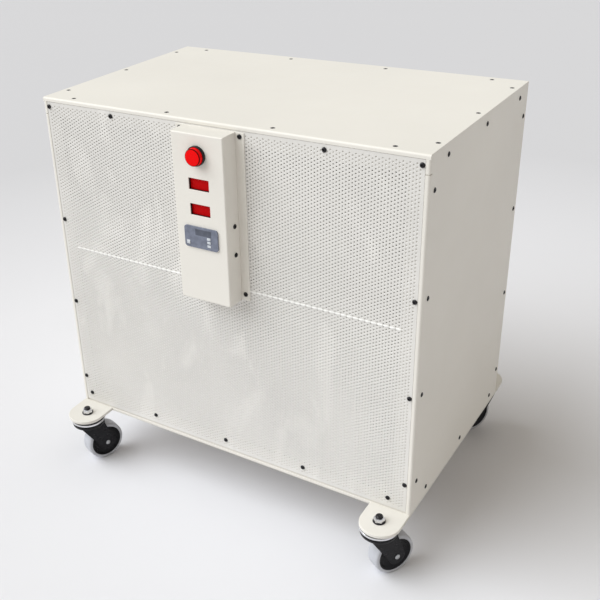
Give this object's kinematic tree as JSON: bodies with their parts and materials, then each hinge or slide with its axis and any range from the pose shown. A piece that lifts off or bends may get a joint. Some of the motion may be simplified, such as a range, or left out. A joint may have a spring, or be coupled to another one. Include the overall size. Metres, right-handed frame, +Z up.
{
  "type": "mobile fan filter unit",
  "caption": "Boxy sheet-metal clean-air blower on swivel casters, with a perforated filter front, rear fan intake and a hung control box with button, displays and keypad.",
  "frame": {"origin": "on the floor under the middle of the cabinet", "axes": "+X to the cabinet's right as seen from its perforated front, the front faces -Y, +Z up"},
  "size_m": [0.6112, 0.4878, 0.622],
  "materials": {
    "cream_paint": "satin powder coat",
    "frame_paint": "satin powder coat",
    "filter_board": "matte",
    "filter_media": "pleated media",
    "fan_plastic": "matte",
    "motor_metal": "cast",
    "zinc_steel": "zinc plated",
    "black_plastic": "satin",
    "red_lens": "gloss",
    "red_window": "gloss",
    "keypad_grey": "satin",
    "screen_dark": "gloss",
    "key_light": "satin",
    "screw_dark": "dark plated",
    "chrome_ring": "bright zinc",
    "fork_black": "satin black",
    "hub_black": "satin",
    "tyre_grey": "smooth grey rubber"
  },
  "bodies": {
    "cabinet": {"base_plate": "cream_paint", "inner_frame": "frame_paint", "top_panel": "cream_paint", "left_side_panel": "cream_paint", "right_side_panel": "cream_paint", "rear_panel": "cream_paint", "perforated_front_sheet": "cream_paint", "upper_filter_case": "filter_board", "lower_filter_case": "filter_board", "upper_filter_media": "filter_media", "lower_filter_media": "filter_media", "filter_joint_strip": "filter_board", "motor_bracket": "zinc_steel", "fan_motor": "motor_metal", "intake_mouth": "zinc_steel", "mains_inlet": "black_plastic", "control_box_tray": "cream_paint", "control_box_cover": "cream_paint", "button_bezel": "black_plastic", "button_contact_block": "black_plastic", "upper_display_module": "black_plastic", "lower_display_module": "black_plastic", "upper_display_window": "red_window", "lower_display_window": "red_window", "keypad_bezel": "keypad_grey", "keypad_screen": "screen_dark", "front_sheet_screws": "screw_dark", "top_panel_screws": "screw_dark", "right_panel_screws": "screw_dark", "left_panel_screws": "screw_dark", "rear_panel_screws": "screw_dark", "control_box_flange_screws": "screw_dark", "control_box_cover_screws": "screw_dark", "caster_nuts": "zinc_steel", "front_left_caster_ring": "chrome_ring", "front_right_caster_ring": "chrome_ring", "back_left_caster_ring": "chrome_ring", "back_right_caster_ring": "chrome_ring"},
    "fan": {"fan_impeller": "fan_plastic"},
    "button": {"button_lens": "red_lens"},
    "up_key": {"up_key": "key_light"},
    "set_key": {"set_key": "key_light"},
    "down_key": {"down_key": "key_light"},
    "menu_key": {"menu_key": "key_light"},
    "front_left_fork": {"front_left_caster_fork": "fork_black", "front_left_caster_axle": "zinc_steel"},
    "front_left_wheel": {"front_left_caster_hub": "hub_black", "front_left_caster_tyre": "tyre_grey"},
    "front_right_fork": {"front_right_caster_fork": "fork_black", "front_right_caster_axle": "zinc_steel"},
    "front_right_wheel": {"front_right_caster_hub": "hub_black", "front_right_caster_tyre": "tyre_grey"},
    "back_left_fork": {"back_left_caster_fork": "fork_black", "back_left_caster_axle": "zinc_steel"},
    "back_left_wheel": {"back_left_caster_hub": "hub_black", "back_left_caster_tyre": "tyre_grey"},
    "back_right_fork": {"back_right_caster_fork": "fork_black", "back_right_caster_axle": "zinc_steel"},
    "back_right_wheel": {"back_right_caster_hub": "hub_black", "back_right_caster_tyre": "tyre_grey"}
  },
  "joints": [
    {"name": "fan_spin", "type": "hinge", "parent": "cabinet", "child": "fan", "pos_m": [0, 0.08, 0.363], "axis": [0, 1, 0], "continuous": true},
    {"name": "button_press", "type": "slide", "parent": "cabinet", "child": "button", "axis": [0, 1, 0], "range_m": [0, 0.003], "stiffness_N_per_m": 400, "springref_m": -0.003},
    {"name": "up_key_press", "type": "slide", "parent": "cabinet", "child": "up_key", "axis": [0, 1, 0], "range_m": [0, 0.0006], "stiffness_N_per_m": 800, "springref_m": -0.0006},
    {"name": "set_key_press", "type": "slide", "parent": "cabinet", "child": "set_key", "axis": [0, 1, 0], "range_m": [0, 0.0006], "stiffness_N_per_m": 800, "springref_m": -0.0006},
    {"name": "down_key_press", "type": "slide", "parent": "cabinet", "child": "down_key", "axis": [0, 1, 0], "range_m": [0, 0.0006], "stiffness_N_per_m": 800, "springref_m": -0.0006},
    {"name": "menu_key_press", "type": "slide", "parent": "cabinet", "child": "menu_key", "axis": [0, 1, 0], "range_m": [0, 0.0006], "stiffness_N_per_m": 800, "springref_m": -0.0006},
    {"name": "front_left_swivel", "type": "hinge", "parent": "cabinet", "child": "front_left_fork", "pos_m": [-0.268, -0.212, 0.08], "axis": [0, 0, 1], "continuous": true},
    {"name": "front_left_roll", "type": "hinge", "parent": "front_left_fork", "child": "front_left_wheel", "pos_m": [-0.26048, -0.19133, 0.0325], "axis": [-0.9397, 0.342, 0], "continuous": true},
    {"name": "front_right_swivel", "type": "hinge", "parent": "cabinet", "child": "front_right_fork", "pos_m": [0.268, -0.212, 0.08], "axis": [0, 0, 1], "continuous": true},
    {"name": "front_right_roll", "type": "hinge", "parent": "front_right_fork", "child": "front_right_wheel", "pos_m": [0.279, -0.19295, 0.0325], "axis": [-0.866, 0.5, 0], "continuous": true},
    {"name": "back_left_swivel", "type": "hinge", "parent": "cabinet", "child": "back_left_fork", "pos_m": [-0.268, 0.212, 0.08], "axis": [0, 0, 1], "continuous": true},
    {"name": "back_left_roll", "type": "hinge", "parent": "back_left_fork", "child": "back_left_wheel", "pos_m": [-0.279, 0.19295, 0.0325], "axis": [0.866, -0.5, 0], "continuous": true},
    {"name": "back_right_swivel", "type": "hinge", "parent": "cabinet", "child": "back_right_fork", "pos_m": [0.268, 0.212, 0.08], "axis": [0, 0, 1], "continuous": true},
    {"name": "back_right_roll", "type": "hinge", "parent": "back_right_fork", "child": "back_right_wheel", "pos_m": [0.257, 0.19295, 0.0325], "axis": [0.866, -0.5, 0], "continuous": true}
  ]
}
